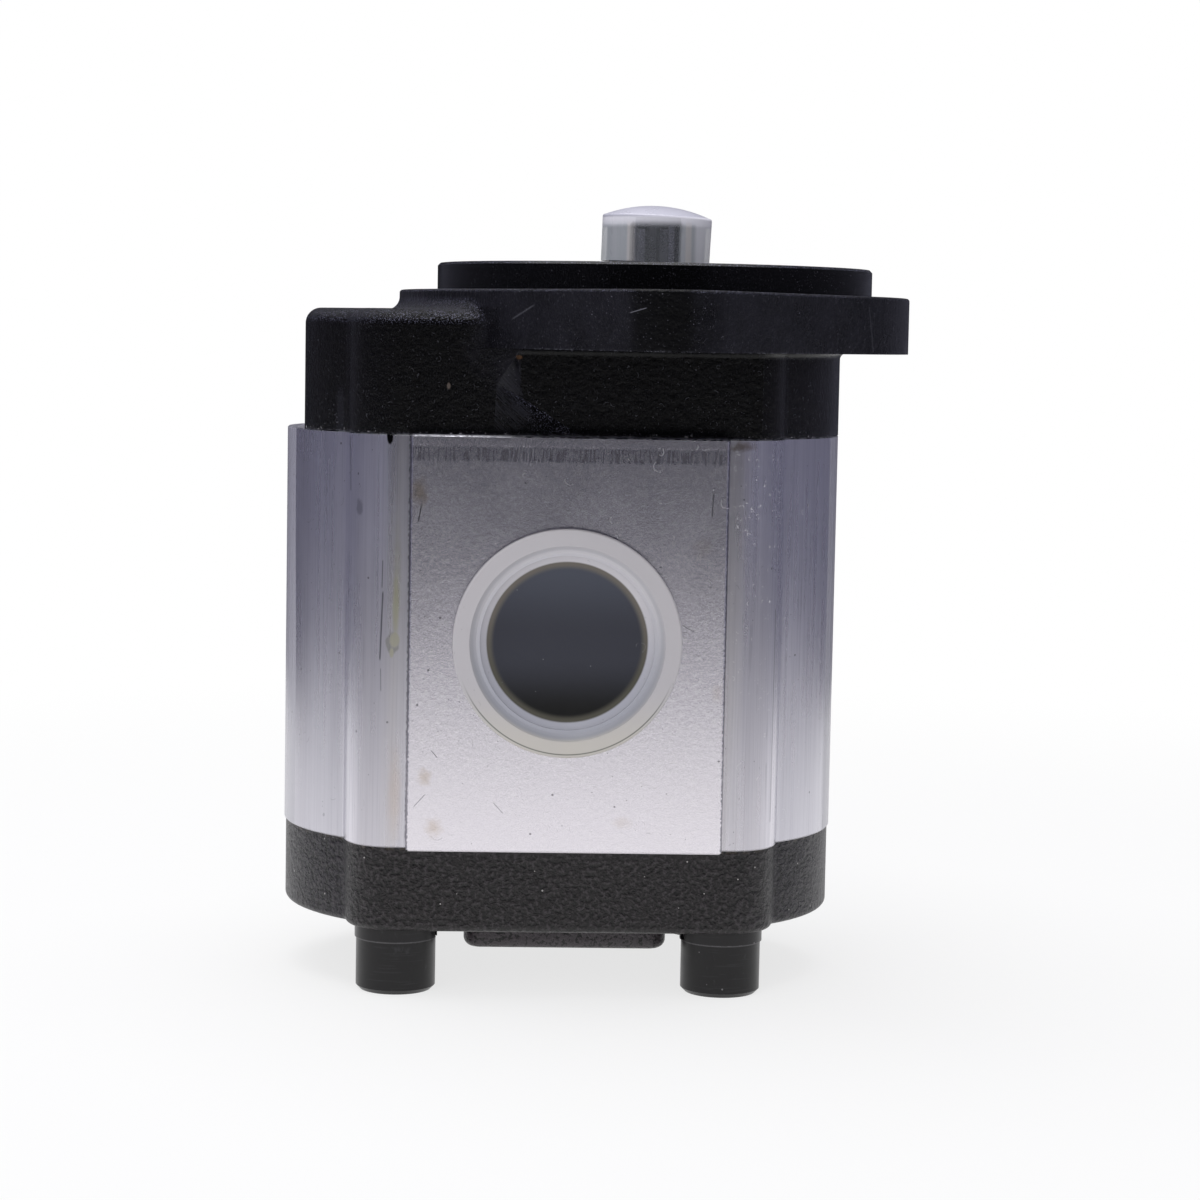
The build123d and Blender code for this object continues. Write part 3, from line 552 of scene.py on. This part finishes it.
def black_steel(name="black_steel", strength=1.0):
    """Black oxide with small bright chips along the edges, and a painted highlight line where washer and
    head meet.
    """
    look = Finish(name, IOR=1.44)
    tone = look.noise(3.0, detail=3.0, shift=3.0)
    dark = [strength * tint for tint in (0.003, 0.0026, 0.003)]
    light = [strength * tint for tint in (0.008, 0.007, 0.008)]
    look.colour = look.blend(tone, dark, light)
    # Painted highlight: a light line where the washer meets the screw head.
    joint_highlight = look.band(look.z, WASHER_BOTTOM - 0.25, WASHER_BOTTOM + 0.1, 0.1)
    look.coat(joint_highlight * 0.7, (0.13, 0.125, 0.13))
    rings = look.rise(look.noise(0.5, (20, 20, 1), 2.0, 0.6, 5.0), 0.60, 0.66)
    look.coat(rings * 0.3, (0.03, 0.029, 0.032))
    chips = look.edges(0.35) * look.rise(look.noise(0.8, detail=4.0, rough=0.7, shift=7.0), 0.52, 0.60)
    look.coat(chips * 0.6, (0.24, 0.23, 0.25))
    look.coat(look.specks(1.8, 0.10, 0.14, shift=2.0) * 0.7, (0.25, 0.24, 0.25))
    smear = look.rise(look.noise(2.5, (1, 1, 2), 3.0, 0.6, 9.0), 0.60, 0.72)
    look.coat(smear * 0.30, (0.06, 0.06, 0.065))
    look.varies(Base_Color=look.colour, Roughness=0.24 + tone * 0.16)
    look.bump(look.noise(0.5, detail=3.0), 0.008)
    return look.material


def seal_rubber():
    """Black rubber with a dull bloom."""
    look = Finish("seal_rubber", IOR=1.5)
    tone = look.noise(4.0, detail=3.0)
    look.colour = look.blend(tone, (0.010, 0.010, 0.011), (0.022, 0.021, 0.022))
    look.coat(look.specks(0.8, 0.10, 0.2) * 0.4, (0.12, 0.12, 0.12))
    look.varies(Base_Color=look.colour, Roughness=0.52 + tone * 0.12)
    look.bump(look.noise(0.35, detail=3.0, shift=2.0), 0.015)
    return look.material


def backup_plastic():
    """Tan moulded strip."""
    look = Finish("backup_plastic", IOR=1.5)
    tone = look.noise(3.0, detail=3.0)
    look.colour = look.blend(tone, (0.62, 0.52, 0.34), (0.74, 0.64, 0.44))
    look.varies(Base_Color=look.colour, Roughness=0.36 + tone * 0.12)
    look.bump(look.noise(0.6, detail=2.0, shift=2.0), 0.012)
    return look.material


def white_plastic():
    """Off-white soft plastic. Over the open port its thin web is drawn dark as painted shade, and other
    tones on it are painted light and shade too.
    """
    look = Finish("white_plastic", IOR=1.46)
    up = look.z - PORT[1]
    radius = look.reach(PORT)
    larger = look.fall(look.y, -10, 10) * (INLET_RADIUS - OUTLET_RADIUS)
    web_radius = OUTLET_RADIUS - 1.9 + larger
    lip_radius = OUTLET_RADIUS + 1.95 + larger
    deep = look.fall(abs(look.y), PAD_FACE - 1.6, PAD_FACE + 0.9)
    inside = look.fall(radius - lip_radius, -0.9, 0.4)
    tone = look.noise(6.0, detail=3.0)
    # Painted light and shade: lower down the plastic is drawn warmer and lighter, higher up greyer.
    look.colour = look.blend(look.rise(up, -24, -8), (0.575, 0.545, 0.495), (0.500, 0.480, 0.500))
    look.coat(tone * 0.3, (0.52, 0.51, 0.53))
    # Painted light and shade: inside the lip the funnel is drawn lighter above, darker and bluer below, and
    # darker towards its outer edge.
    across_funnel = look.rise(radius - web_radius, 0.2, 3.2)
    funnel_low = look.blend(across_funnel, (0.48, 0.485, 0.55), (0.38, 0.385, 0.43))
    funnel_high = look.blend(across_funnel, (0.64, 0.62, 0.65), (0.58, 0.565, 0.59))
    look.coat(inside, look.blend(look.rise(up, -15, 14), funnel_low, funnel_high))
    # Painted shadow: a dark ring just inside the lip.
    groove_shadow = look.band(radius - lip_radius, -0.9, -0.2, 0.25)
    look.coat(groove_shadow * 0.3, (0.30, 0.31, 0.34))
    # Painted shade: a darker bluish ring further in.
    shaded_ring = look.band(radius - lip_radius, -2.3, -1.7, 0.3)
    look.coat(shaded_ring * 0.25, (0.40, 0.41, 0.46))
    # Painted shadow: a dark line at the flange's outer edge, low down.
    outer_shadow_line = look.band(radius - lip_radius, 2.78, 3.05, 0.08) * look.fall(up, -17, -7)
    look.coat(outer_shadow_line * 0.8, (0.12, 0.13, 0.11))
    # Painted shade: the ring round the web is drawn dark, lighter higher up.
    rim_shade = look.fall(radius - web_radius, -0.1, 0.35) * deep
    look.coat(rim_shade, look.blend(look.rise(up, -10, 8), (0.085, 0.080, 0.060), (0.15, 0.135, 0.115)))
    # Painted shade: the thin web is drawn dark, from black below to blue-grey above.
    web = look.fall(radius - web_radius, -1.7, -0.3) * deep
    web_shade = look.blend(look.rise(up, -16, -3), (0.0, 0.0, 0.0), (0.035, 0.037, 0.051))
    web_shade = look.blend(look.rise(up, 2, 17), web_shade, (0.064, 0.071, 0.094))
    look.coat(web, web_shade)
    dust = look.specks(1.5, 0.10, 0.12, shift=2.0) + look.hairs(4.0, 0.12, 3.0)
    look.coat(look.limit(dust) * 0.45, (0.24, 0.24, 0.25))
    look.varies(Base_Color=look.colour, Roughness=0.34 + tone * 0.14 + web * 0.1)
    look.bump(look.noise(2.2, detail=2.0, shift=6.0), 0.04)
    return look.material


def milky_plastic():
    """Milky clear plastic. Where it is seen straight on, the spline shows through, with painted stripes of
    light and shade in its tone, and parts of it are painted lighter or darker.
    """
    look = Finish("milky_plastic", IOR=1.46)
    tone = look.noise(4.0, (1, 1, 2), 3.0, 0.5)
    stripes = look.noise(1.3, (1, 1, 40), 2.0, 0.5, 4.0)
    front = look.fall(look.y, -2, 0)
    top = look.rise(look.z, CAP_RIM - 3.2, CAP_RIM - 0.9)
    right_part = look.rise(look.x, 8.2, 9.4) * front
    dome = look.rise(look.z, CAP_RIM - 0.7, CAP_RIM - 0.2)
    aslant = look.node("LayerWeight", {}, {"Blend": 0.5}, "Facing")
    milk = look.rise(aslant + (stripes - 0.5) * 0.10, 0.085, 0.14)
    # Painted light and shade: stripes in the tone stand in for the spline seen through.
    look.colour = look.blend(stripes, (0.44, 0.49, 0.53), (0.68, 0.68, 0.75))
    # Painted light: two bands on the front glow, and the right part is drawn lighter.
    glow = look.limit(look.band(look.x, -7.1, -5.3, 0.25) + look.band(look.x, 6.4, 7.8, 0.25)) * front
    look.coat(glow * 0.5, (0.66, 0.60, 0.58))
    look.coat(right_part * 0.6, (0.90, 0.89, 0.97))
    # Painted light: the top band is drawn bright. Painted shade: the dome is drawn darker.
    look.coat(top, (0.92, 0.91, 1.0))
    look.coat(dome, (0.56, 0.555, 0.65))
    # The painted light also makes these parts more opaque.
    milky = milk * (0.50 + right_part * 0.14) + glow * 0.15 + top * 0.80 + dome * 0.5 + tone * 0.05
    look.varies(Base_Color=look.colour, Roughness=0.22 + tone * 0.15, Alpha=look.limit(0.07 + milky))
    look.bump(look.noise(2.5, detail=2.0, shift=6.0), 0.04)
    return look.material


FINISHES = {
    "extruded_aluminium": extruded_aluminium,
    "black_casting": black_casting,
    "brown_casting": brown_casting,
    "black_steel": black_steel,
    "washer_steel": lambda: black_steel("washer_steel", 1.4),
    "ground_steel": lambda: plain_metal("ground_steel", (0.48, 0.48, 0.50), (0.58, 0.57, 0.59), 0.26, 0.3),
    "gear_steel": lambda: plain_metal("gear_steel", (0.42, 0.42, 0.44), (0.54, 0.53, 0.54), 0.28, 0.3),
    "block_alloy": lambda: plain_metal("block_alloy", (0.62, 0.62, 0.64), (0.72, 0.71, 0.73), 0.34, 0.4),
    "bush_bronze": lambda: plain_metal("bush_bronze", (0.50, 0.32, 0.15), (0.60, 0.40, 0.20), 0.34, 0.4),
    "seal_rubber": seal_rubber,
    "backup_plastic": backup_plastic,
    "milky_plastic": milky_plastic,
    "white_plastic": white_plastic,
}


def dress():
    """Gives each node of the frame the finish that the record names for it."""
    made = {}
    for part in frame["record"]["subparts"]:
        slot = part["material_slot"]
        if slot not in made:
            made[slot] = FINISHES[slot]()
        mesh = nodes[part["node"]].data
        mesh.materials.clear()
        mesh.materials.append(made[slot])


def mesh_object(name, vertices, faces):
    mesh = bpy.data.meshes.new(name)
    mesh.from_pydata(vertices, [], faces)
    made = bpy.data.objects.new(name, mesh)
    bpy.context.scene.collection.objects.link(made)
    return made


def pale(maker, surface, white, near_share):
    """Where camera, mirror and see-through rays meet a surface it is partly white, and wholly so far out."""
    ray = maker.node("LightPath", output="Is Camera Ray")
    seen = ray
    for name in ("Is Glossy Ray", "Is Transmission Ray"):
        seen = maker.node("Math", {"operation": "MAXIMUM"}, {0: seen, 1: ray.output(name)})
    place = maker.node("TexCoord", output="Object")
    reach = maker.node("VectorMath", {"operation": "LENGTH"}, {0: place}, "Value")
    share = seen * maker.rise(reach, 0.22, 0.6, near_share)
    shine = maker.node(white, {}, {"Color": (1, 1, 1)})
    return maker.node("MixShader", {}, {0: share, 1: surface, 2: shine})


def floor(low):
    """A pale paper floor under the pump."""
    corners = [(-6, -6, low), (6, -6, low), (6, 6, low), (-6, 6, low)]
    made = mesh_object("floor", corners, [(0, 1, 2, 3)])
    paper = Finish("floor_paper", Base_Color=(0.85, 0.85, 0.86), Roughness=0.9)
    mixed = pale(paper, Field(paper, paper.shader.outputs["BSDF"]), "Emission", 0.75)
    paper.feed(paper.tree.nodes["Material Output"].inputs["Surface"], mixed)
    paper.material.cycles.emission_sampling = "NONE"
    made.data.materials.append(paper.material)


def dim_room(low):
    """A dim wall all round, which only reflections see. It is nearer and lighter at the pump's sides."""
    height, steps = 1.5, 72
    front_radius, side_radius = 0.64, 0.51
    nearer_from, nearest_from, lighter_from = (math.radians(angle) for angle in (18, 32, 25))
    centre = Vector((PORT[0] / MM, 0, low))
    turns = [math.tau * i / steps for i in range(steps)]
    ring = []
    for turn in turns:
        off_middle = abs(math.asin(math.sin(turn)))
        aside = min(1.0, max(0.0, (off_middle - nearer_from) / (nearest_from - nearer_from)))
        radius = front_radius + (side_radius - front_radius) * aside
        spot = centre + Vector((math.sin(turn), -math.cos(turn), 0)) * radius
        ring += [spot + Vector((0, 0, 0.0005)), spot + Vector((0, 0, height))]
    corners = [(2 * i, 2 * ((i + 1) % steps)) for i in range(steps)]
    room = mesh_object("dim_room", ring, [(here, here + 1, there + 1, there) for here, there in corners])
    for name, tone in (("room_front", (0.02, 0.02, 0.028)), ("room_sides", (0.125, 0.125, 0.165))):
        room.data.materials.append(Finish(name, Base_Color=tone, Roughness=1.0).material)
    for turn, face in zip(turns, room.data.polygons):
        face.material_index = int(abs(math.sin(turn + math.pi / steps)) > math.sin(lighter_from))
    for ray in ("camera", "diffuse", "transmission", "shadow"):
        setattr(room, "visible_" + ray, False)


def lamp(name, place, aim, size, power, seen):
    """A soft square lamp, which reflections show only if it is seen."""
    data = bpy.data.lights.new(name, "AREA")
    data.size = size
    data.energy = power
    made = bpy.data.objects.new(name, data)
    bpy.context.scene.collection.objects.link(made)
    made.location = place
    made.rotation_euler = (Vector(aim) - Vector(place)).to_track_quat("-Z", "Y").to_euler()
    made.visible_camera = False
    made.visible_glossy = seen


def studio():
    """A white surrounding with a floor, a room that metal reflects, and two lamps."""
    scene = bpy.context.scene
    scene.view_settings.view_transform = "Standard"
    world = bpy.data.worlds.new("studio")
    scene.world = world
    world.use_nodes = True
    world.cycles.sampling_method = "NONE"
    sky = Maker(world.node_tree)
    grey = sky.tree.nodes["Background"]
    sky.feed(grey.inputs["Color"], (0.50, 0.50, 0.52))
    mixed = pale(sky, Field(sky, grey.outputs[0]), "Background", 1.0)
    sky.feed(sky.tree.nodes["World Output"].inputs["Surface"], mixed)
    low = cad_box[0].z
    floor(low)
    dim_room(low)
    lamp("overhead_softbox", (-0.1, 0.1, 0.75), (0, 0, -0.08), size=0.8, power=6.0, seen=True)
    lamp("front_fill", (-0.5, -1.1, 0.35), (-0.02, 0, -0.08), size=0.9, power=4.0, seen=False)


def camera():
    """The photograph's view, fitted to the pump's edges."""
    yaw, pitch, roll = (math.radians(angle) for angle in (2.159, 5.128, 1.053))
    back, aside, raised = -0.7007, -0.01142, -0.00927
    level = Vector((math.sin(yaw), math.cos(yaw), 0))
    right = Vector((math.cos(yaw), -math.sin(yaw), 0))
    forward = level * math.cos(pitch) + Vector((0, 0, -math.sin(pitch)))
    up = right.cross(forward)
    across = right * math.cos(roll) + up * math.sin(roll)
    upward = up * math.cos(roll) - right * math.sin(roll)
    data = bpy.data.cameras.new("camera")
    data.lens = 89.145
    data.sensor_width = 36
    data.sensor_fit = "HORIZONTAL"
    data.clip_start = 0.01
    made = bpy.data.objects.new("camera", data)
    bpy.context.scene.collection.objects.link(made)
    place = Matrix.Translation(level * back + right * aside + Vector((0, 0, raised)))
    made.matrix_world = place @ Matrix((across, upward, -forward)).transposed().to_4x4()
    bpy.context.scene.camera = made


dress()
studio()
camera()
